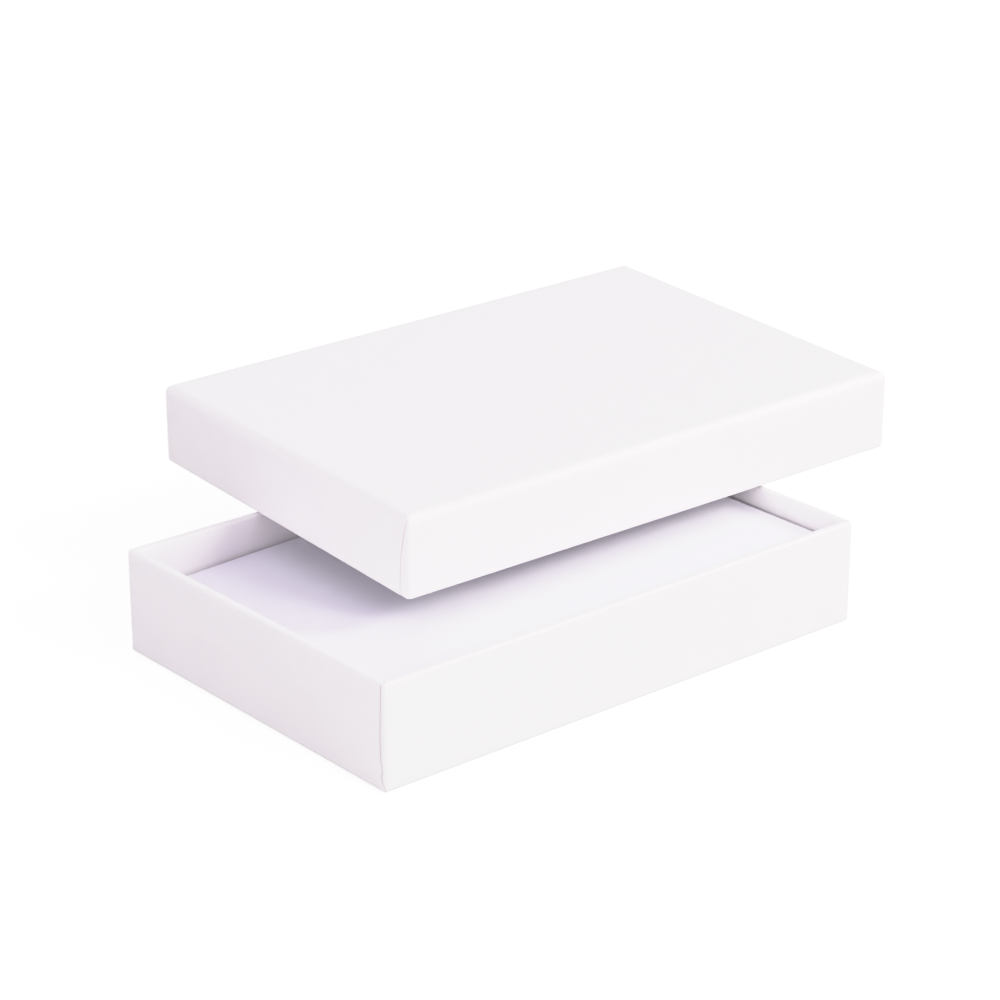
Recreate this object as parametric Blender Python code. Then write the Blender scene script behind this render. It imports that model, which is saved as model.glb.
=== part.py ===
"""A two-piece rigid gift box for jewelry: a paper-wrapped tray with a foam insert, and a lift-off lid.

The tray and the lid are made alike. One scored greyboard blank folds up into a floor and four walls,
paper stays hold its corners, one sheet of paper wraps it and turns in over the rim, and a paper liner
covers the board inside. The origin is at the middle of the tray's underside. +X runs along its long
side, -Y is its front and +Z is up. The lid is off the tray: it hangs just above it, a little turned and tilted.
"""

import math

import bmesh
import bpy
from mathutils import Matrix, Vector

MM = 0.001

# Driving dimensions.
TRAY_LENGTH = 135.0 * MM
TRAY_WIDTH = 92.0 * MM
TRAY_HEIGHT = 24.5 * MM
LID_HEIGHT = 19.4 * MM
LID_PLAY = 0.5 * MM  # between a lid wall's inside and the tray wall's outside

# Sheet stock, and the gap that stands for the glue between two layers.
PAPER = 0.2 * MM
BOARD = 1.15 * MM
STAY = 0.15 * MM
GLUE = 0.1 * MM

# A wall is wrap, stay, board and turned-in wrap, from the outside in.
STAY_INSET = PAPER + GLUE
BOARD_INSET = STAY_INSET + STAY + GLUE
WALL = BOARD_INSET + BOARD + GLUE + PAPER
FLOOR_UNDERSIDE = PAPER + GLUE
FLOOR_TOP = FLOOR_UNDERSIDE + BOARD

LID_LENGTH = TRAY_LENGTH + 2 * (LID_PLAY + WALL)
LID_WIDTH = TRAY_WIDTH + 2 * (LID_PLAY + WALL)

# Rounding of the folds, the upright corners and the wrapped rim.
TRAY_FOLD_RADIUS = 0.8 * MM
LID_FOLD_RADIUS = 2.2 * MM
CORNER_RADIUS = 0.8 * MM
SMALLEST_RADIUS = 0.2 * MM
RIM_RADIUS = 0.7 * MM
BOARD_RIM_RADIUS = 0.4 * MM
CORNER_STEPS = 4
FOLD_STEPS = 4
RIM_STEPS = 3

# How far the wrap is turned in below the rim, inside.
TRAY_TURN_IN = 18.0 * MM
LID_TURN_IN = 14.0 * MM

# The gap between two walls of the board where they meet at a corner.
SLIT_WIDTH = 0.3 * MM
SLIT_LENGTH = 8.0 * MM

STAY_ARM = 9.0 * MM
STAY_RIM_GAP = 1.5 * MM
STAY_FOLD_GAP = 0.5 * MM

LINER_EDGE_GAP = 0.8 * MM  # from the turned-in wrap to the liner's edge

# The insert is a foam block with a smooth facing. It sits proud at its +X end.
INSERT_LENGTH = 129.6 * MM
INSERT_WIDTH = 86.8 * MM
FOAM_THICKNESS = 12.5 * MM
FACING_THICKNESS = 0.4 * MM
FOAM_EDGE_ROUNDING = 0.5 * MM
INSERT_LOW_END = Vector((-64.7 * MM, 0, FLOOR_TOP + GLUE + PAPER + 0.3 * MM))
INSERT_TILT = math.radians(2.2)

# Where the lid hangs: the middle of its rim, and its roll, pitch and yaw.
LID_PLACE = Vector((36.3, 31.0, 26.05)) * MM
LID_ROLL = math.radians(1.6)
LID_PITCH = math.radians(-1.25)
LID_YAW = math.radians(-2.65)

WRAP_WHITE = (0.90, 0.88, 0.89)
BOARD_GREY = (0.62, 0.60, 0.56)
STAY_CREAM = (0.80, 0.76, 0.68)
LINER_WHITE = (0.86, 0.85, 0.85)
FOAM_WHITE = (0.87, 0.87, 0.90)
FACING_WHITE = (0.88, 0.88, 0.93)


def clear_scene():
    for old in list(bpy.data.objects):
        bpy.data.objects.remove(old, do_unlink=True)


def make_material(name, colour, roughness):
    made = bpy.data.materials.new(name)
    made.use_nodes = True
    shader = made.node_tree.nodes["Principled BSDF"]
    shader.inputs["Base Color"].default_value = (*colour, 1.0)
    shader.inputs["Roughness"].default_value = roughness
    shader.inputs["Metallic"].default_value = 0.0
    return made


def arc(inset, z, radius, start, end, steps):
    """Wall-section points (inset, z) round a centre. 0 degrees points out of the box and 90 up."""
    points = []
    for step in range(steps + 1):
        angle = math.radians(start + (end - start) * step / steps)
        points.append((inset - radius * math.cos(angle), z + radius * math.sin(angle)))
    return points


def corner_points(center_x, center_y, radius, quadrant):
    """Points on a quarter circle, anticlockwise from above. Quadrant 0 is the +X +Y corner."""
    points = []
    for step in range(CORNER_STEPS + 1):
        angle = math.pi / 2 * (quadrant + step / CORNER_STEPS)
        points.append((center_x + radius * math.cos(angle), center_y + radius * math.sin(angle)))
    return points


def ring_points(length, width, inset):
    """A rectangle with rounded corners, the given distance inside the box's outer walls."""
    radius = max(CORNER_RADIUS - inset, SMALLEST_RADIUS)
    x = length / 2 - inset - radius
    y = width / 2 - inset - radius
    points = []
    for quadrant, (sign_x, sign_y) in enumerate(((1, 1), (-1, 1), (-1, -1), (1, -1))):
        points += corner_points(sign_x * x, sign_y * y, radius, quadrant)
    return points


def finish_object(name, mesh_builder, material, parent):
    """Turns a bmesh into a named object under an empty, smooth across its rounded edges."""
    mesh = bpy.data.meshes.new(name)
    mesh_builder.to_mesh(mesh)
    mesh_builder.free()
    mesh.materials.append(material)
    mesh.shade_smooth()
    mesh.set_sharp_from_angle(angle=math.radians(35))
    made = bpy.data.objects.new(name, mesh)
    bpy.context.scene.collection.objects.link(made)
    made.parent = parent
    return made


def turn_over(mesh_builder, height):
    """Puts a shell made mouth up at z = 0 upside down in its own height, as a lid is."""
    for vertex in mesh_builder.verts:
        vertex.co.z = height - vertex.co.z
    bmesh.ops.reverse_faces(mesh_builder, faces=mesh_builder.faces)


def wrap_section(height, fold_radius, turn_in):
    """The wrap's section: out along the underside, up the wall, over the rim, in, and back inside the paper."""
    rim = height - RIM_RADIUS
    inner_rim_radius = RIM_RADIUS - PAPER
    outside = arc(fold_radius, fold_radius, fold_radius, -90, 0, FOLD_STEPS)
    outside += arc(RIM_RADIUS, rim, RIM_RADIUS, 0, 90, RIM_STEPS)
    outside += arc(WALL - RIM_RADIUS, rim, RIM_RADIUS, 90, 180, RIM_STEPS)
    outside += [(WALL, height - turn_in), (WALL - PAPER, height - turn_in)]
    inside = arc(WALL - RIM_RADIUS, rim, inner_rim_radius, 180, 90, RIM_STEPS)
    inside += arc(RIM_RADIUS, rim, inner_rim_radius, 90, 0, RIM_STEPS)
    inside += arc(fold_radius, fold_radius, fold_radius - PAPER, 0, -90, FOLD_STEPS)
    return outside + inside


def board_section(height, fold_radius):
    """The board's section: along its underside, up its outer face, over its edge and down its inner face."""
    outer_fold = fold_radius - BOARD_INSET
    inner_fold = outer_fold - BOARD
    fold_inset = BOARD_INSET + outer_fold
    fold_z = FLOOR_UNDERSIDE + outer_fold
    rim = height - PAPER - GLUE - BOARD_RIM_RADIUS
    section = arc(fold_inset, fold_z, outer_fold, -90, 0, FOLD_STEPS)
    section += arc(BOARD_INSET + BOARD_RIM_RADIUS, rim, BOARD_RIM_RADIUS, 0, 90, RIM_STEPS)
    section += arc(BOARD_INSET + BOARD - BOARD_RIM_RADIUS, rim, BOARD_RIM_RADIUS, 90, 180, RIM_STEPS)
    if inner_fold > 0:
        section += arc(fold_inset, fold_z, inner_fold, 0, -90, FOLD_STEPS)
    else:
        section.append((BOARD_INSET + BOARD, FLOOR_TOP))
    return section


def make_shell(name, length, width, height, section, mouth_down, material, parent):
    """Runs a wall section round the box and closes its two ends with flat floor faces."""
    builder = bmesh.new()
    rings = []
    for inset, z in section:
        rings.append([builder.verts.new((x, y, z)) for x, y in ring_points(length, width, inset)])
    for lower, upper in zip(rings, rings[1:]):
        for index in range(len(lower)):
            following = (index + 1) % len(lower)
            builder.faces.new((lower[index], lower[following], upper[following], upper[index]))
    builder.faces.new(reversed(rings[0]))
    builder.faces.new(rings[-1])
    if mouth_down:
        turn_over(builder, height)
    return finish_object(name, builder, material, parent)


def cut_corner_slits(board, length, width, height, mouth_down):
    """The walls of a folded blank meet at the corners without joining: cuts a thin upright slit at each."""
    builder = bmesh.new()
    bottom = FLOOR_TOP + SLIT_WIDTH
    top = height + 1 * MM
    for sign_x in (-1, 1):
        for sign_y in (-1, 1):
            corner = Vector((sign_x * length / 2, sign_y * width / 2, (bottom + top) / 2))
            turned = Matrix.Rotation(math.atan2(sign_y, sign_x), 4, "Z")
            size = Matrix.Diagonal((SLIT_LENGTH, SLIT_WIDTH, top - bottom, 1))
            bmesh.ops.create_cube(builder, size=1, matrix=Matrix.Translation(corner) @ turned @ size)
    if mouth_down:
        turn_over(builder, height)
    cutter = finish_object(board.name + "_slit_cutter", builder, board.data.materials[0], board.parent)
    cutter.hide_render = True
    cutter.display_type = "WIRE"
    slits = board.modifiers.new("corner_slits", "BOOLEAN")
    slits.operation = "DIFFERENCE"
    slits.object = cutter


def make_corner_stay(name, length, width, lowest, highest, sign_x, sign_y, material, parent):
    """A strip of paper bent round the outside of the board's upright corner, under the wrap."""
    outer = []
    inner = []
    for side, inset in ((outer, STAY_INSET), (inner, STAY_INSET + STAY)):
        radius = CORNER_RADIUS - inset
        x = length / 2 - CORNER_RADIUS
        y = width / 2 - CORNER_RADIUS
        side.append((x + radius, y - STAY_ARM))
        side += corner_points(x, y, radius, 0)
        side.append((x - STAY_ARM, y + radius))
    outline = [(sign_x * x, sign_y * y) for x, y in outer + inner[::-1]]
    if sign_x * sign_y < 0:
        outline.reverse()
    return make_prism(name, outline, lowest, highest, material, parent)


def make_prism(name, outline, lowest, highest, material, parent):
    """Raises an outline, anticlockwise from above, into an upright solid."""
    builder = bmesh.new()
    bottom = [builder.verts.new((x, y, lowest)) for x, y in outline]
    top = [builder.verts.new((x, y, highest)) for x, y in outline]
    builder.faces.new(reversed(bottom))
    builder.faces.new(top)
    for index in range(len(outline)):
        following = (index + 1) % len(outline)
        builder.faces.new((bottom[index], bottom[following], top[following], top[index]))
    return finish_object(name, builder, material, parent)


def make_slab(name, low, high, material, parent):
    """A flat rectangular sheet or block between two corners."""
    size = Vector(high) - Vector(low)
    middle = (Vector(high) + Vector(low)) / 2
    builder = bmesh.new()
    bmesh.ops.create_cube(builder, size=1, matrix=Matrix.Translation(middle) @ Matrix.Diagonal((*size, 1)))
    return finish_object(name, builder, material, parent)


def make_box_half(prefix, liner_name, length, width, height, fold_radius, turn_in, mouth_down, paints, parent):
    """One half of the gift box: board, corner stays, wrap and liner. The lid is the same, mouth down."""
    board = make_shell(prefix + "_board", length, width, height, board_section(height, fold_radius),
                       mouth_down, paints["board"], parent)
    cut_corner_slits(board, length, width, height, mouth_down)
    make_shell(prefix + "_wrap", length, width, height, wrap_section(height, fold_radius, turn_in),
               mouth_down, paints["wrap"], parent)

    lowest = fold_radius + STAY_FOLD_GAP
    highest = height - STAY_RIM_GAP
    if mouth_down:
        lowest, highest = height - highest, height - lowest
    for end, sign_y in (("front", -1), ("back", 1)):
        for side, sign_x in (("left", -1), ("right", 1)):
            make_corner_stay(f"{prefix}_corner_stay_{end}_{side}", length, width, lowest, highest,
                             sign_x, sign_y, paints["stay"], parent)

    x = length / 2 - WALL - LINER_EDGE_GAP
    y = width / 2 - WALL - LINER_EDGE_GAP
    near = FLOOR_TOP + GLUE
    far = near + PAPER
    if mouth_down:
        near, far = height - far, height - near
    make_slab(f"{prefix}_{liner_name}", (-x, -y, near), (x, y, far), paints["liner"], parent)


def make_insert(paints, parent):
    """The foam block and its facing, in a frame whose origin is at the middle of the low end's bottom edge."""
    half = INSERT_WIDTH / 2
    foam = make_slab("insert_foam", (0, -half, 0), (INSERT_LENGTH, half, FOAM_THICKNESS), paints["foam"], parent)
    soft_edge = foam.modifiers.new("soft_edge", "BEVEL")
    soft_edge.width = FOAM_EDGE_ROUNDING
    soft_edge.segments = 2
    facing_low = FOAM_THICKNESS + GLUE
    margin = FOAM_EDGE_ROUNDING / 2
    make_slab(
        "insert_facing",
        (margin, -half + margin, facing_low),
        (INSERT_LENGTH - margin, half - margin, facing_low + FACING_THICKNESS),
        paints["facing"],
        parent,
    )


def make_frame(name, place, rotation):
    """An empty that places the pieces under it."""
    frame = bpy.data.objects.new(name, None)
    frame.location = place
    frame.rotation_euler = rotation
    bpy.context.scene.collection.objects.link(frame)
    return frame


def main():
    clear_scene()
    paints = {
        "wrap": make_material("white_wrap_paper", WRAP_WHITE, 0.5),
        "board": make_material("greyboard", BOARD_GREY, 0.9),
        "stay": make_material("stay_paper", STAY_CREAM, 0.8),
        "liner": make_material("liner_paper", LINER_WHITE, 0.7),
        "foam": make_material("white_foam", FOAM_WHITE, 0.9),
        "facing": make_material("insert_facing", FACING_WHITE, 0.8),
    }
    tray_frame = make_frame("tray_frame", (0, 0, 0), (0, 0, 0))
    lid_frame = make_frame("lid_frame", LID_PLACE, (LID_ROLL, LID_PITCH, LID_YAW))
    insert_frame = make_frame("insert_frame", INSERT_LOW_END, (0, -INSERT_TILT, 0))

    make_box_half("tray", "floor_liner", TRAY_LENGTH, TRAY_WIDTH, TRAY_HEIGHT, TRAY_FOLD_RADIUS,
                  TRAY_TURN_IN, False, paints, tray_frame)
    make_box_half("lid", "ceiling_liner", LID_LENGTH, LID_WIDTH, LID_HEIGHT, LID_FOLD_RADIUS,
                  LID_TURN_IN, True, paints, lid_frame)
    make_insert(paints, insert_frame)
    bpy.context.view_layer.update()


main()
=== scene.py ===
"""The looks of a two-piece rigid gift box for jewelry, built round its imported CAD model.

The wraps, the liners, the foam and its facing are replaced by detailed pieces of the same size and
place. The greyboards and the corner stays keep their CAD shapes and get finished materials.
A box half is worked out in its own frame, mouth up, with the middle of its flat panel's outer face at
the origin. The tray stands like that. The lid is the same thing turned over and placed by its CAD mesh.
"""

import math
from collections import namedtuple
from dataclasses import dataclass
from typing import Callable

import bmesh
import bpy
from mathutils import Matrix, Vector, noise


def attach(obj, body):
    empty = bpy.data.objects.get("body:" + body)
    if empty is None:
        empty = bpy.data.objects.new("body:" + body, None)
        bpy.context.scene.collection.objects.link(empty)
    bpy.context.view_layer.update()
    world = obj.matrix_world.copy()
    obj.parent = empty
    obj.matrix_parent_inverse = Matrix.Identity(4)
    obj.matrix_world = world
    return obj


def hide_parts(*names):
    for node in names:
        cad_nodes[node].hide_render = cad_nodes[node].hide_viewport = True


MM = 0.001

# The sheet stock and the rounding of the CAD model's wraps.
PAPER = 0.2 * MM
WALL = 2.0 * MM
CORNER_RADIUS = 0.8 * MM
SMALLEST_RADIUS = 0.2 * MM
RIM_RADIUS = 0.7 * MM
TRAY_FOLD_RADIUS = 0.8 * MM
LID_FOLD_RADIUS = 2.2 * MM
TRAY_TURN_IN = 18.0 * MM
LID_TURN_IN = 14.0 * MM

# The seam: the cut edge of each short panel, which lies over the ear of the long one.
TRAY_SEAM = 0.9 * MM
TRAY_SEAM_ARCH = 0.5 * MM  # how much further out it runs half way up the wall
TRAY_SEAM_NICK = 0.4 * MM
TRAY_NICK_PLACE = 0.21  # as a share of the wall's height, like the next three
TRAY_NICK_REACH = 0.05
TRAY_SEAM_START = 0.12
PANEL_EDGE_FADE = 0.05  # no relief where the wall meets the panel
LID_SEAM = 2.85 * MM
LID_SEAM_POWER = 2.6
SEAM_WOBBLE = 0.09 * MM
SEAM_VARIATION = 0.12  # how much the four corners differ, as a share of the seam's distance
SEAM_NEAREST = -0.6 * MM  # measured from the end of the corner's rounding
EAR_DEPTH = 0.10 * MM
GROOVE_DEPTH = 0.17 * MM
GROOVE_WIDTH = 0.24 * MM
EDGE_CURL = 0.04 * MM
SEAM_TAPER = 0.11  # how far the turned-in edge moves from the corner, for each metre below the rim
EAR_LENGTH = 14.6 * MM  # where the hidden ear ends and shows through as a faint ridge, inside
EAR_RIDGE = 0.05 * MM
CORNER_NICK = 0.16 * MM
CORNER_NICK_WIDTH = 0.3 * MM
CORNER_NICK_DEPTH = 1.2 * MM  # below the rim

# How far the walls and panels are from flat.
WALL_BOWS = (0.10 * MM, 0.08 * MM, -0.07 * MM, 0.11 * MM)  # +X, +Y, -X and -Y walls, outward at the rim
RIM_WAVE = 0.05 * MM
RIM_WAVE_SIZE = 17 * MM
PANEL_WAVE = 0.05 * MM
PANEL_WAVE_SIZE = 28 * MM
PANEL_MARGIN = 9 * MM  # over which the panel's wave fades out towards its edges
LINER_WAVE = 0.05 * MM
LINER_WAVE_SIZE = 14 * MM
INSERT_CROWN = 0.15 * MM
INSERT_SAG = 0.35 * MM
INSERT_WAVE = 0.07 * MM
INSERT_WAVE_SIZE = 22 * MM
FOAM_SIDE_WAVE = 0.12 * MM
FOAM_SIDE_WAVE_SIZE = 6 * MM

# Rounded edges of the flat pieces.
LINER_ROUNDING = 0.05 * MM
FOAM_ROUNDING = 0.6 * MM
FACING_ROUNDING = 0.15 * MM

# Steps of the mesh.
FOLD_STEPS = 6
RIM_STEPS = 5
WALL_STEP = 1.2 * MM
EAR_STEPS = 8
SHORT_STEPS = 12
LONG_STEP = 5.0 * MM
NEAR_CORNER = 0.5 * MM
NEXT_TO_CORNER = 1.5 * MM
PANEL_STEP = 4.0 * MM
LINER_STEP = 4.0 * MM
FOAM_STEP = 3.0 * MM
FACING_STEP = 2.5 * MM
CUT_TOLERANCE = 1e-7
SHARP_ANGLE = math.radians(40)

# Camera and light.
CAMERA_PLACE = Vector((-0.41188, -0.49105, 0.28878))
CAMERA_AZIMUTH = math.radians(-40.11)
CAMERA_ELEVATION = math.radians(21.76)
CAMERA_LENS = 111.6
SENSOR = 36.0
CAMERA_NEAR = 0.01
CAMERA_FAR = 50.0
FLOOR_SIZE = 40.0  # so large that its far edge stays out of the low side views
FLOOR_DROP = 0.2 * MM  # the floor lies this far below the tray
FLOOR_GLOW = 1.2
SURROUND_COLOUR = (1.01, 0.97, 1.07, 1.0)
SURROUND_STRENGTH = 0.79
SOFTBOX_SIZE = 0.36
SOFTBOX_DISTANCE = 1.3
SOFTBOXES = (  # name, azimuth and elevation in degrees, strength, colour
    ("key_softbox", 15, 30, 0.35, (1.03, 1.0, 0.95)),
    ("right_softbox", 50, 30, 0.50, (1.03, 1.0, 0.95)),
    ("left_softbox", -78, 12, 0.30, (1.02, 1.0, 0.96)),
)

# How bright each amount of light is shown: true up to 0.75, then a soft shoulder, and white at 1.6.
SHOULDER_WHITE = 1.6
SHOULDER = ((0.5, 0.5), (0.75, 0.745), (0.9, 0.845), (1.05, 0.885), (1.25, 0.915), (1.4, 0.95))

COMBINED_CURVE = 3  # the curve for all three colours, after those for red, green and blue

# The colour sockets of a Mix node.
MIX_FIRST = 6
MIX_SECOND = 7
MIX_RESULT = 2

# A row of a wrap's section: how far in from the outer face and how high it lies, the angle that its
# surface faces, and whether it is on the turned-in part and on the side of the paper that is seen.
Row = namedtuple("Row", "inset z angle turned shown")


@dataclass
class BoxHalf:
    """The tray or the lid, in its own frame."""

    name: str
    length: float
    width: float
    height: float
    fold_radius: float
    turn_in: float
    seam: Callable
    frame: Matrix


# Frames and sizes, from the CAD meshes.


def slab_frame(node):
    """The frame of a flat rectangular CAD sheet: its middle, with X along it, Y across and Z through it."""
    places = {vertex.co.to_tuple(7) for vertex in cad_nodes[node].data.vertices}
    corners = [Vector(place) for place in places]
    corners.sort(key=tuple)
    middle = sum(corners, Vector()) / len(corners)
    steps = sorted((corner - corners[0] for corner in corners), key=lambda step: step.length)
    steps = [step for step in steps if step.length > 0.01 * MM]
    width_way = next(step for step in steps if step.length > 10 * MM)
    length_way = next(step for step in steps if step.length > width_way.length * 1.1)
    along = length_way.normalized() * math.copysign(1, length_way.x)
    up = along.cross(width_way.normalized() * math.copysign(1, width_way.y)).normalized()
    across = up.cross(along)
    turned = Matrix((along, across, up)).transposed().to_4x4()
    return Matrix.Translation(middle) @ turned


def size_in_frame(node, frame):
    """The lowest and highest corners of a CAD node in the given frame."""
    back = frame.inverted()
    points = [back @ vertex.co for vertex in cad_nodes[node].data.vertices]
    low = Vector(min(point[axis] for point in points) for axis in range(3))
    high = Vector(max(point[axis] for point in points) for axis in range(3))
    return low, high


def tray_seam(share):
    """How far the tray's seam is from the upright corner, from the underside (0) up to the rim (1)."""
    arch = TRAY_SEAM + TRAY_SEAM_ARCH * math.sin(math.pi * share**0.9)
    nick = TRAY_SEAM_NICK * math.exp(-(((share - TRAY_NICK_PLACE) / TRAY_NICK_REACH) ** 2))
    start = min(share / TRAY_SEAM_START, 1.0)
    return (arch - nick) * start


def lid_seam(share):
    """The same for the lid, from its top (0) down to its rim (1)."""
    return LID_SEAM * (1 - (1 - share) ** LID_SEAM_POWER)


def measure_half(prefix, liner, fold_radius, turn_in, seam, mouth_down):
    """Reads one half of the box from the CAD model."""
    frame = slab_frame(f"{prefix}_{liner}")
    low, high = size_in_frame(f"{prefix}_wrap", frame)
    size = high - low
    if mouth_down:
        frame = frame @ Matrix.Translation((0, 0, high.z)) @ Matrix.Diagonal((1, 1, -1, 1))
    else:
        frame = frame @ Matrix.Translation((0, 0, low.z))
    return BoxHalf(prefix, size.x, size.y, size.z, fold_radius, turn_in, seam, frame)


# The wrap: one sheet of paper over the panel and the walls, over the rim and back inside.


def arc_rows(inset, z, radius, start, end, steps, turned, shown):
    """Section rows round a centre. 0 degrees faces out of the box and 90 faces its mouth."""
    rows = []
    for step in range(steps + 1):
        angle = math.radians(start + (end - start) * step / steps)
        rows.append(Row(inset - radius * math.cos(angle), z + radius * math.sin(angle), angle, turned, shown))
    return rows


def wall_rows(inset, start, end, angle, turned, shown):
    """Section rows up or down a wall, without its two ends."""
    steps = max(2, round(abs(end - start) / WALL_STEP))
    rows = []
    for step in range(1, steps):
        rows.append(Row(inset, start + (end - start) * step / steps, math.radians(angle), turned, shown))
    return rows


def wrap_rows(half):
    """The section: up the outside from the fold, over the rim, and back along the paper's other face."""
    fold = half.fold_radius
    rim = half.height - RIM_RADIUS
    inner = WALL - RIM_RADIUS
    lowest = half.height - half.turn_in
    back_radius = RIM_RADIUS - PAPER
    rows = arc_rows(fold, fold, fold, -90, 0, FOLD_STEPS, False, True)
    rows += wall_rows(0, fold, rim, 0, False, True)
    rows += arc_rows(RIM_RADIUS, rim, RIM_RADIUS, 0, 90, RIM_STEPS, False, True)
    rows += arc_rows(inner, rim, RIM_RADIUS, 90, 180, RIM_STEPS, True, True)
    rows += wall_rows(WALL, rim, lowest, 180, True, True)
    rows.append(Row(WALL, lowest, math.radians(180), True, True))
    rows.append(Row(WALL - PAPER, lowest, math.radians(180), True, False))
    rows += wall_rows(WALL - PAPER, lowest, rim, 180, True, False)
    rows += arc_rows(inner, rim, back_radius, 180, 90, RIM_STEPS, True, False)
    rows += arc_rows(RIM_RADIUS, rim, back_radius, 90, 0, RIM_STEPS, False, False)
    rows += wall_rows(PAPER, rim, fold, 0, False, False)
    rows += arc_rows(fold, fold, fold - PAPER, 0, -90, FOLD_STEPS, False, False)
    return rows


def seam_place(half, row, corner):
    """Where the seam crosses a row, as a distance past the end of the corner's rounding."""
    share = min(max(row.z / half.height, 0), 1)
    if row.turned:
        distance = half.seam(1) + SEAM_TAPER * (half.height - row.z)
    else:
        distance = half.seam(share)
    wobble = SEAM_WOBBLE * noise.noise(Vector((corner * 7.3 + half.length * 90, share * 5, 0.5)))
    variation = 1 + SEAM_VARIATION * math.sin(corner * 2.4)
    return max(distance * variation + wobble * share - CORNER_RADIUS, SEAM_NEAREST)


def end_columns(seam, row):
    """Columns round one upright corner and on along the short wall: (distance, relief, painted seam shade).
    """
    # The ear rises towards the seam.
    columns = []
    quarter = CORNER_RADIUS * math.pi / 2
    for step in range(EAR_STEPS):
        share = step / EAR_STEPS
        distance = -quarter + share * (seam - GROOVE_WIDTH + quarter)
        columns.append((distance, EAR_DEPTH * share * share, 0.0))

    # The groove, painted darker as shade in the crevice, most of all at its bottom by the cut edge, and the
    # short panel's edge curling up a little beyond it.
    columns.append((seam - GROOVE_WIDTH, EAR_DEPTH, 0.2))
    columns.append((seam - 0.7 * GROOVE_WIDTH, GROOVE_DEPTH, 0.8))
    columns.append((seam - 0.12 * GROOVE_WIDTH, GROOVE_DEPTH, 1.0))
    columns.append((seam, 0.0, 0.35))
    columns.append((seam + 0.3 * MM, -EDGE_CURL, 0.0))
    columns.append((seam + 1.0 * MM, 0.0, 0.0))

    # The hidden ear shows through the turned-in paper as a faint ridge.
    ridge = -EAR_RIDGE if row.turned else 0.0
    columns.append((seam + 2.0 * MM, ridge / 2, 0.0))
    for distance in (6.0 * MM, 9.0 * MM, 12.0 * MM, EAR_LENGTH - 0.5 * MM):
        columns.append((distance, ridge, 0.0))
    columns.append((EAR_LENGTH, ridge * 0.8, 0.0))
    columns.append((EAR_LENGTH + 0.3 * MM, 0.0, 0.0))
    return columns


def short_wall_columns(half, row, side):
    """Columns along a short wall and round the corners at its ends."""
    straight = half.width - 2 * CORNER_RADIUS
    start = end_columns(seam_place(half, row, side), row)
    end = end_columns(seam_place(half, row, side + 1), row)
    first = start[-1][0]
    last = straight - end[-1][0]
    distances = [first + (last - first) * step / SHORT_STEPS for step in range(1, SHORT_STEPS)]
    middle = [(distance, 0.0, 0.0) for distance in distances]
    mirrored = [(straight - distance, relief, painted_shade) for distance, relief, painted_shade in reversed(end)]
    return start + middle + mirrored


def long_wall_columns(half):
    """Columns along a long wall, between the corners that the short walls' columns go round."""
    straight = half.length - 2 * CORNER_RADIUS
    steps = round(straight / LONG_STEP)
    distances = [NEAR_CORNER, NEXT_TO_CORNER]
    distances += [straight * step / steps for step in range(1, steps)]
    distances += [straight - NEXT_TO_CORNER, straight - NEAR_CORNER]
    return [(distance, 0.0, 0.0) for distance in distances]


def corner_nick(half, row, straight, distance):
    """The small dip where the turned paper meets at each corner of the rim."""
    middle = CORNER_RADIUS * math.pi / 4
    from_corner = min(abs(distance + middle), abs(distance - straight - middle))
    near_rim = max(0, 1 - (half.height - row.z) / CORNER_NICK_DEPTH)
    return CORNER_NICK * near_rim * math.exp(-((from_corner / CORNER_NICK_WIDTH) ** 2))


def wrap_point(half, row, side, distance, relief):
    """A point of the wrap in the box half's own frame."""
    tangent_reach, normal_reach = half.width / 2, half.length / 2
    if side % 2:
        tangent_reach, normal_reach = normal_reach, tangent_reach
    straight = 2 * (tangent_reach - CORNER_RADIUS)
    share = min(max(distance / straight, 0), 1)
    past_end = distance if distance < 0 else max(distance - straight, 0)
    facing = math.pi / 2 * side
    turn = facing + past_end / CORNER_RADIUS
    radius = max(CORNER_RADIUS - row.inset, SMALLEST_RADIUS)
    outward = Vector((math.cos(facing), math.sin(facing), 0))
    along = Vector((-math.sin(facing), math.cos(facing), 0))
    normal = Vector((math.cos(turn), math.sin(turn), 0))

    point = outward * (normal_reach - row.inset - radius) + normal * radius
    point += along * (2 * share - 1) * (tangent_reach - row.inset - radius)
    point.z = row.z

    height_share = min(max(row.z / half.height, 0), 1)
    point += outward * WALL_BOWS[side] * (1 - (2 * share - 1) ** 2) * height_share
    point.z += RIM_WAVE * noise.noise(point / RIM_WAVE_SIZE) * height_share**4
    if row.shown:
        fade = min(height_share / PANEL_EDGE_FADE, 1)
        depth = relief * fade + corner_nick(half, row, straight, distance)
        point -= depth * (normal * math.cos(row.angle) + Vector((0, 0, math.sin(row.angle))))
    return point


def cut_panel(builder, half, face):
    """Cuts a panel's face into a grid and gives it a faint unevenness."""
    faces = [face]
    for axis, reach in ((0, half.length / 2), (1, half.width / 2)):
        count = round(2 * reach / PANEL_STEP)
        for step in range(1, count):
            cut = Vector((0, 0, 0))
            cut[axis] = reach * (2 * step / count - 1)
            edges = {edge for part in faces for edge in part.edges}
            corners = {vertex for part in faces for vertex in part.verts}
            normal = Vector((axis == 0, axis == 1, 0))
            result = bmesh.ops.bisect_plane(builder, geom=[*faces, *edges, *corners], dist=CUT_TOLERANCE,
                                            plane_co=cut, plane_no=normal)
            faces = [part for part in result["geom"] if isinstance(part, bmesh.types.BMFace)]
    for vertex in {vertex for part in faces for vertex in part.verts}:
        x, y, _ = vertex.co
        margin = min(half.length / 2 - abs(x), half.width / 2 - abs(y)) - half.fold_radius
        fade = min(max(margin / PANEL_MARGIN, 0), 1)
        wave = PANEL_WAVE * noise.noise(Vector((x, y, half.length)) / PANEL_WAVE_SIZE)
        vertex.co.z += wave * fade * fade * (3 - 2 * fade)


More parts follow.
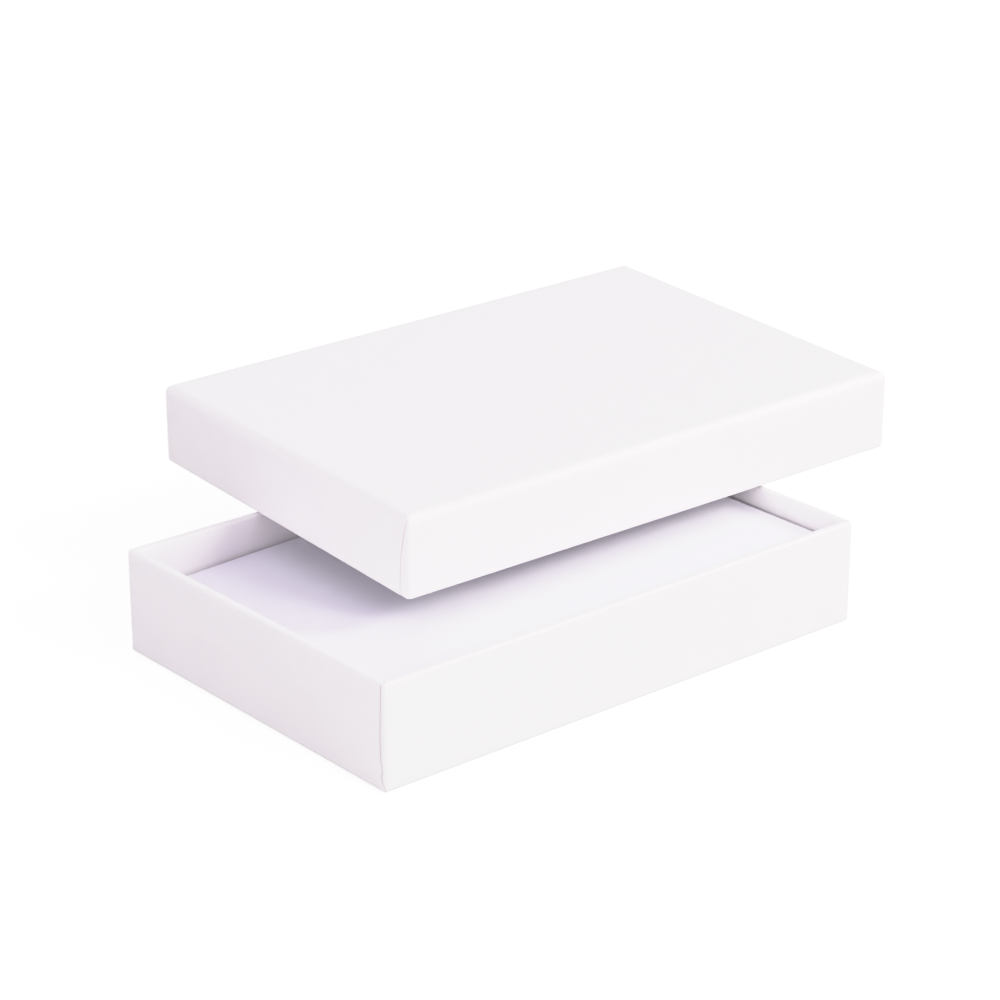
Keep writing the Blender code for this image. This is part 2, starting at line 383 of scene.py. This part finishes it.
def make_wrap(half, paint):
    """The whole wrap of one box half, as one closed sheet."""
    builder = bmesh.new()
    # This layer holds painted shade: how much darker the paper is painted in each seam's groove.
    groove_shade_layer = builder.verts.layers.float.new("painted_groove_shade")
    rings = []
    for row in wrap_rows(half):
        ring = []
        for side in range(4):
            columns = long_wall_columns(half) if side % 2 else short_wall_columns(half, row, side)
            for distance, relief, painted_shade in columns:
                vertex = builder.verts.new(wrap_point(half, row, side, distance, relief))
                vertex[groove_shade_layer] = painted_shade if row.shown else 0.0
                ring.append(vertex)
        rings.append(ring)
    for lower, upper in zip(rings, rings[1:]):
        for index in range(len(lower)):
            following = (index + 1) % len(lower)
            builder.faces.new((lower[index], lower[following], upper[following], upper[index]))
    for ring in (rings[0][::-1], rings[-1]):
        cut_panel(builder, half, builder.faces.new(ring))
    piece = finish_piece(f"{half.name}_wrap_paper", builder, half.frame, paint)
    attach(piece, half.name)
    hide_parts(f"{half.name}_wrap")
    return piece


# Flat pieces: liners, facing and foam.


def finish_piece(name, builder, frame, paint):
    """Turns a bmesh into a named object at the origin, with its shape placed by the frame."""
    bmesh.ops.transform(builder, matrix=frame, verts=builder.verts)
    if frame.determinant() < 0:
        bmesh.ops.reverse_faces(builder, faces=builder.faces)
    mesh = bpy.data.meshes.new(name)
    builder.to_mesh(mesh)
    builder.free()
    mesh.materials.append(paint)
    mesh.shade_smooth()
    mesh.set_sharp_from_angle(angle=SHARP_ANGLE)
    piece = bpy.data.objects.new(name, mesh)
    bpy.context.scene.collection.objects.link(piece)
    return piece


def rounded_block(low, high, rounding, steps, cell):
    """A block with rounded edges, cut into cells so that it can be bent."""
    size = high - low
    middle = (high + low) / 2
    builder = bmesh.new()
    bmesh.ops.create_cube(builder, size=1, matrix=Matrix.Translation(middle) @ Matrix.Diagonal((*size, 1)))
    bmesh.ops.bevel(builder, geom=builder.edges[:], offset=rounding, offset_type="OFFSET", segments=steps,
                    profile=0.5, affect="EDGES", clamp_overlap=True)
    for axis in range(2):
        normal = Vector((axis == 0, axis == 1, 0))
        start = low[axis] + rounding
        end = high[axis] - rounding
        count = round((end - start) / cell)
        for step in range(1, count):
            cut = middle.copy()
            cut[axis] = start + (end - start) * step / count
            bmesh.ops.bisect_plane(builder, geom=builder.verts[:] + builder.edges[:] + builder.faces[:],
                                   plane_co=cut, plane_no=normal)
    return builder


def make_liner(half, node, paint):
    """The sheet glued inside a panel. It isn't quite flat."""
    low, high = size_in_frame(node, half.frame)
    builder = rounded_block(low, high, LINER_ROUNDING, 2, LINER_STEP)
    for vertex in builder.verts:
        wave = noise.noise(Vector((vertex.co.x, vertex.co.y, 3.0)) / LINER_WAVE_SIZE)
        vertex.co.z += LINER_WAVE * wave
    piece = finish_piece(f"{node}_sheet", builder, half.frame, paint)
    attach(piece, half.name)
    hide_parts(node)
    return piece


def insert_lie(point, low, high):
    """How far the insert's top lies above or below flat: it is soft, and sags along its back edge."""
    x = (point.x - low.x) / (high.x - low.x) * 2 - 1
    y = (point.y - low.y) / (high.y - low.y) * 2 - 1
    crown = INSERT_CROWN * (1 - x**4) * (1 - y**4)
    sag = INSERT_SAG * max(y, 0) ** 2 * (1 - x * x)
    wave = INSERT_WAVE * noise.noise(Vector((point.x, point.y, 0)) / INSERT_WAVE_SIZE)
    return crown - sag + wave


def make_insert(foam_paint, facing_paint):
    """The foam block and the smooth facing on it."""
    frame = slab_frame("insert_facing")
    foam_low, foam_high = size_in_frame("insert_foam", frame)
    builder = rounded_block(foam_low, foam_high, FOAM_ROUNDING, 3, FOAM_STEP)
    for vertex in builder.verts:
        height = (vertex.co.z - foam_low.z) / (foam_high.z - foam_low.z)
        side_wave = FOAM_SIDE_WAVE * noise.noise(vertex.co / FOAM_SIDE_WAVE_SIZE)
        vertex.co.z += insert_lie(vertex.co, foam_low, foam_high) * height**2
        vertex.co.x -= math.copysign(abs(side_wave) * (1 - abs(2 * height - 1)), vertex.co.x)
    foam = finish_piece("foam_block", builder, frame, foam_paint)
    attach(foam, "insert")
    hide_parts("insert_foam")

    low, high = size_in_frame("insert_facing", frame)
    builder = rounded_block(low, high, FACING_ROUNDING, 3, FACING_STEP)
    for vertex in builder.verts:
        vertex.co.z += insert_lie(vertex.co, foam_low, foam_high)
    facing = finish_piece("facing_sheet", builder, frame, facing_paint)
    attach(facing, "insert")
    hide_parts("insert_facing")


# Materials.


class Painter:
    """Builds a material's nodes one by one."""

    def __init__(self, name):
        self.material = bpy.data.materials.new(name)
        self.material.use_nodes = True
        self.tree = self.material.node_tree
        self.shader = self.tree.nodes["Principled BSDF"]
        self.place = self.add("ShaderNodeTexCoord").outputs["Object"]

    def add(self, kind, **settings):
        node = self.tree.nodes.new(kind)
        for key, value in settings.items():
            setattr(node, key, value)
        return node

    def join(self, source, target):
        self.tree.links.new(source, target)

    def noise(self, size, detail=2.0, stretch=(1, 1, 1)):
        """Noise whose features are about the given size, from 0 to 1."""
        mapping = self.add("ShaderNodeMapping")
        mapping.inputs["Scale"].default_value = stretch
        self.join(self.place, mapping.inputs["Vector"])
        texture = self.add("ShaderNodeTexNoise")
        texture.inputs["Scale"].default_value = 1 / size
        texture.inputs["Detail"].default_value = detail
        self.join(mapping.outputs["Vector"], texture.inputs["Vector"])
        return texture.outputs["Fac"]

    def cells(self, size, feature="F1"):
        """Distance from the middles of cells of about the given size."""
        texture = self.add("ShaderNodeTexVoronoi", feature=feature)
        texture.inputs["Scale"].default_value = 1 / size
        self.join(self.place, texture.inputs["Vector"])
        return texture.outputs["Distance"]

    def ramp(self, value, low, high, low_value=0.0, high_value=1.0):
        """Maps a value between two limits, smoothly."""
        node = self.add("ShaderNodeMapRange", interpolation_type="SMOOTHSTEP")
        node.inputs["From Min"].default_value = low
        node.inputs["From Max"].default_value = high
        node.inputs["To Min"].default_value = low_value
        node.inputs["To Max"].default_value = high_value
        self.join(value, node.inputs["Value"])
        return node.outputs["Result"]

    def math(self, operation, first, second):
        node = self.add("ShaderNodeMath", operation=operation)
        for socket, value in zip(node.inputs, (first, second)):
            if isinstance(value, (int, float)):
                socket.default_value = value
            else:
                self.join(value, socket)
        return node.outputs["Value"]

    def mix(self, factor, first, second):
        """Mixes two colours, each a colour or a socket."""
        node = self.add("ShaderNodeMix", data_type="RGBA")
        self.join(factor, node.inputs["Factor"])
        for socket, value in ((node.inputs[MIX_FIRST], first), (node.inputs[MIX_SECOND], second)):
            if isinstance(value, tuple):
                socket.default_value = (*value, 1.0)
            else:
                self.join(value, socket)
        return node.outputs[MIX_RESULT]

    def bump(self, height, depth, below=None):
        """Adds fine relief of the given depth in metres, over relief made before."""
        node = self.add("ShaderNodeBump")
        node.inputs["Distance"].default_value = depth
        node.inputs["Strength"].default_value = 1.0
        self.join(height, node.inputs["Height"])
        if below is not None:
            self.join(below, node.inputs["Normal"])
        return node.outputs["Normal"]

    def finish(self, colour, roughness, normal):
        self.join(colour, self.shader.inputs["Base Color"])
        if isinstance(roughness, (int, float)):
            self.shader.inputs["Roughness"].default_value = roughness
        else:
            self.join(roughness, self.shader.inputs["Roughness"])
        self.join(normal, self.shader.inputs["Normal"])
        return self.material


def wrap_paper():
    """Smooth white wrapping paper, a little pink, with faint clouds, fibres, a few tiny specks and painted
    shade in the seams' grooves.
    """
    painter = Painter("wrap_paper_look")
    clouds = painter.ramp(painter.noise(9 * MM, 3), 0.3, 0.7)
    fibres = painter.noise(0.45 * MM, 4)
    colour = painter.mix(clouds, (0.868, 0.832, 0.853), (0.880, 0.843, 0.864))
    colour = painter.mix(painter.ramp(fibres, 0.35, 0.75, 0.0, 0.35), colour, (0.898, 0.864, 0.883))
    specks = painter.ramp(painter.cells(5 * MM), 0.012, 0.022, 0.35, 0.0)
    colour = painter.mix(specks, colour, (0.45, 0.40, 0.38))
    # The seams' grooves are painted darker here, as shade in the crevice.
    edge = painter.add("ShaderNodeAttribute", attribute_name="painted_groove_shade").outputs["Fac"]
    colour = painter.mix(painter.ramp(edge, 0.0, 1.0, 0.0, 0.6), colour, (0.62, 0.55, 0.54))
    roughness = painter.ramp(clouds, 0.0, 1.0, 0.64, 0.72)
    painter.shader.inputs["Specular IOR Level"].default_value = 0.3
    normal = painter.bump(fibres, 0.012 * MM)
    normal = painter.bump(painter.noise(3.2 * MM, 2), 0.03 * MM, normal)
    return painter.finish(colour, roughness, normal)


def liner_paper():
    """Plain uncoated white paper."""
    painter = Painter("liner_paper_look")
    fibres = painter.noise(0.3 * MM, 5)
    colour = painter.mix(painter.ramp(fibres, 0.3, 0.7), (0.83, 0.82, 0.82), (0.88, 0.87, 0.87))
    normal = painter.bump(fibres, 0.02 * MM)
    normal = painter.bump(painter.noise(2.5 * MM, 2), 0.03 * MM, normal)
    return painter.finish(colour, 0.75, normal)


def stay_paper():
    """Gummed kraft-like paper, cream with darker fibres."""
    painter = Painter("stay_paper_look")
    fibres = painter.noise(0.25 * MM, 5, stretch=(1, 1, 0.3))
    colour = painter.mix(painter.ramp(fibres, 0.3, 0.7), (0.74, 0.69, 0.60), (0.82, 0.78, 0.70))
    normal = painter.bump(fibres, 0.02 * MM)
    return painter.finish(colour, 0.7, normal)


def greyboard():
    """Recycled board: grey-beige, with light and dark fibre flecks."""
    painter = Painter("greyboard_look")
    clouds = painter.noise(6 * MM, 4)
    colour = painter.mix(painter.ramp(clouds, 0.3, 0.7), (0.55, 0.53, 0.49), (0.64, 0.62, 0.58))
    light_flecks = painter.ramp(painter.noise(0.5 * MM, 3, stretch=(1, 0.35, 1)), 0.6, 0.72)
    dark_flecks = painter.ramp(painter.noise(0.35 * MM, 3, stretch=(0.4, 1, 1)), 0.64, 0.74)
    colour = painter.mix(light_flecks, colour, (0.76, 0.75, 0.72))
    colour = painter.mix(dark_flecks, colour, (0.34, 0.32, 0.29))
    normal = painter.bump(painter.noise(0.4 * MM, 4), 0.05 * MM)
    return painter.finish(colour, 0.9, normal)


def foam():
    """White polyurethane foam with fine open cells, each pit painted a little darker as shade."""
    painter = Painter("foam_look")
    cells = painter.cells(0.55 * MM)
    pit_relief_and_shade = painter.ramp(cells, 0.15, 0.6)
    # The pits are painted darker here, as shade in the hollows; the same pattern makes their relief below.
    colour = painter.mix(pit_relief_and_shade, (0.79, 0.79, 0.81), (0.87, 0.87, 0.89))
    normal = painter.bump(pit_relief_and_shade, 0.07 * MM)
    normal = painter.bump(painter.noise(2 * MM, 3), 0.08 * MM, normal)
    painter.shader.inputs["Subsurface Weight"].default_value = 0.1
    painter.shader.inputs["Subsurface Radius"].default_value = (1 * MM, 1 * MM, 1 * MM)
    return painter.finish(colour, 0.9, normal)


def facing_felt():
    """A smooth flocked facing, bluish white, with a short soft nap."""
    painter = Painter("facing_look")
    nap = painter.noise(0.22 * MM, 4)
    clouds = painter.ramp(painter.noise(7 * MM, 3), 0.3, 0.7)
    colour = painter.mix(clouds, (0.885, 0.860, 0.960), (0.900, 0.875, 0.970))
    colour = painter.mix(painter.ramp(nap, 0.3, 0.7, 0.0, 0.4), colour, (0.860, 0.835, 0.940))
    normal = painter.bump(nap, 0.03 * MM)
    normal = painter.bump(painter.noise(1.4 * MM, 2), 0.02 * MM, normal)
    painter.shader.inputs["Sheen Weight"].default_value = 0.15
    painter.shader.inputs["Sheen Roughness"].default_value = 0.5
    return painter.finish(colour, 0.85, normal)


def floor_look():
    """A pale studio floor, lit a little from within so that it stays nearly white."""
    painter = Painter("studio_floor_look")
    shade = painter.ramp(painter.noise(0.3, 2), 0.3, 0.7)
    colour = painter.mix(shade, (0.44, 0.44, 0.44), (0.46, 0.46, 0.46))
    painter.shader.inputs["Emission Color"].default_value = (1, 1, 1, 1)
    painter.shader.inputs["Emission Strength"].default_value = FLOOR_GLOW
    painter.shader.inputs["Specular IOR Level"].default_value = 0.0
    painter.join(colour, painter.shader.inputs["Base Color"])
    painter.shader.inputs["Roughness"].default_value = 1.0
    return painter.material


def paint_cad_nodes(paints):
    """Gives the CAD pieces that stay their finished materials."""
    for name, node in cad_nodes.items():
        for ending, paint in paints.items():
            if ending in name:
                node.data.materials.clear()
                node.data.materials.append(paint)


# The studio.


def add_softbox(name, azimuth, elevation, strength, colour):
    """A round soft light aimed at the box. Azimuth 0 is the front, and 90 the right.

    The strength is what it gives a surface that faces it. At 1.0 it alone would make white paper look white.
    """
    turn = math.radians(azimuth)
    lift = math.radians(elevation)
    level = math.cos(lift)
    direction = Vector((math.sin(turn) * level, -math.cos(turn) * level, math.sin(lift)))
    data = bpy.data.lights.new(name, "AREA")
    data.shape = "DISK"
    data.size = SOFTBOX_SIZE
    data.energy = strength * math.pi**2 * SOFTBOX_DISTANCE**2
    data.color = colour
    softbox = bpy.data.objects.new(name, data)
    softbox.location = direction * SOFTBOX_DISTANCE
    softbox.rotation_euler = (-direction).to_track_quat("-Z", "Y").to_euler()
    bpy.context.scene.collection.objects.link(softbox)


def make_floor():
    """A pale floor whose glow lights only the floor itself, so that it looks white and the box isn't
    lit from below by it.
    """
    bpy.ops.mesh.primitive_plane_add(size=FLOOR_SIZE, location=(0, 0, -FLOOR_DROP))
    floor = bpy.context.object
    floor.name = "studio_floor"
    floor.data.materials.append(floor_look())
    receivers = bpy.data.collections.new("floor_glow_receivers")
    receivers.objects.link(floor)
    floor.light_linking.receiver_collection = receivers


def make_studio():
    """A pale floor, an even surround and three low soft lights."""
    world = bpy.data.worlds.new("studio_world")
    bpy.context.scene.world = world
    world.use_nodes = True
    surround = world.node_tree.nodes["Background"]
    surround.inputs["Color"].default_value = SURROUND_COLOUR
    surround.inputs["Strength"].default_value = SURROUND_STRENGTH
    make_floor()
    for softbox in SOFTBOXES:
        add_softbox(*softbox)


def soften_highlights():
    """Shows light as a camera does: its brightest whites are drawn together and the backdrop turns white."""
    view = bpy.context.scene.view_settings
    view.view_transform = "Standard"
    view.use_curve_mapping = True
    mapping = view.curve_mapping
    mapping.white_level = (SHOULDER_WHITE, SHOULDER_WHITE, SHOULDER_WHITE)
    for light, shown in SHOULDER:
        mapping.curves[COMBINED_CURVE].points.new(light / SHOULDER_WHITE, shown)
    mapping.update()


def make_camera():
    """The camera, at the angle from which the box is shown."""
    level = math.cos(CAMERA_ELEVATION)
    towards = -Vector((math.sin(CAMERA_AZIMUTH) * level, -math.cos(CAMERA_AZIMUTH) * level,
                       math.sin(CAMERA_ELEVATION)))
    data = bpy.data.cameras.new("camera")
    data.lens = CAMERA_LENS
    data.sensor_width = SENSOR
    data.clip_start = CAMERA_NEAR
    data.clip_end = CAMERA_FAR
    camera = bpy.data.objects.new("camera", data)
    camera.location = CAMERA_PLACE
    camera.rotation_euler = towards.to_track_quat("-Z", "Y").to_euler()
    bpy.context.scene.collection.objects.link(camera)
    bpy.context.scene.camera = camera


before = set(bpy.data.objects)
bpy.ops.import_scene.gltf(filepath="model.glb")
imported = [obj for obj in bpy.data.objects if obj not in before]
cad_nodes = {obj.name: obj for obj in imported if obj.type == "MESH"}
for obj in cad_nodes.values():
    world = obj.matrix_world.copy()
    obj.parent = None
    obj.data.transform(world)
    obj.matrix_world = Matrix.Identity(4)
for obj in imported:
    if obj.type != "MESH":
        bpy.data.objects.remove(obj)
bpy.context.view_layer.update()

make_camera()
make_studio()
soften_highlights()

paper = wrap_paper()
liner = liner_paper()
tray = measure_half("tray", "floor_liner", TRAY_FOLD_RADIUS, TRAY_TURN_IN, tray_seam, False)
lid = measure_half("lid", "ceiling_liner", LID_FOLD_RADIUS, LID_TURN_IN, lid_seam, True)
make_wrap(tray, paper)
make_wrap(lid, paper)
make_liner(tray, "tray_floor_liner", liner)
make_liner(lid, "lid_ceiling_liner", liner)
make_insert(foam(), facing_felt())
paint_cad_nodes({"_board": greyboard(), "_corner_stay": stay_paper()})
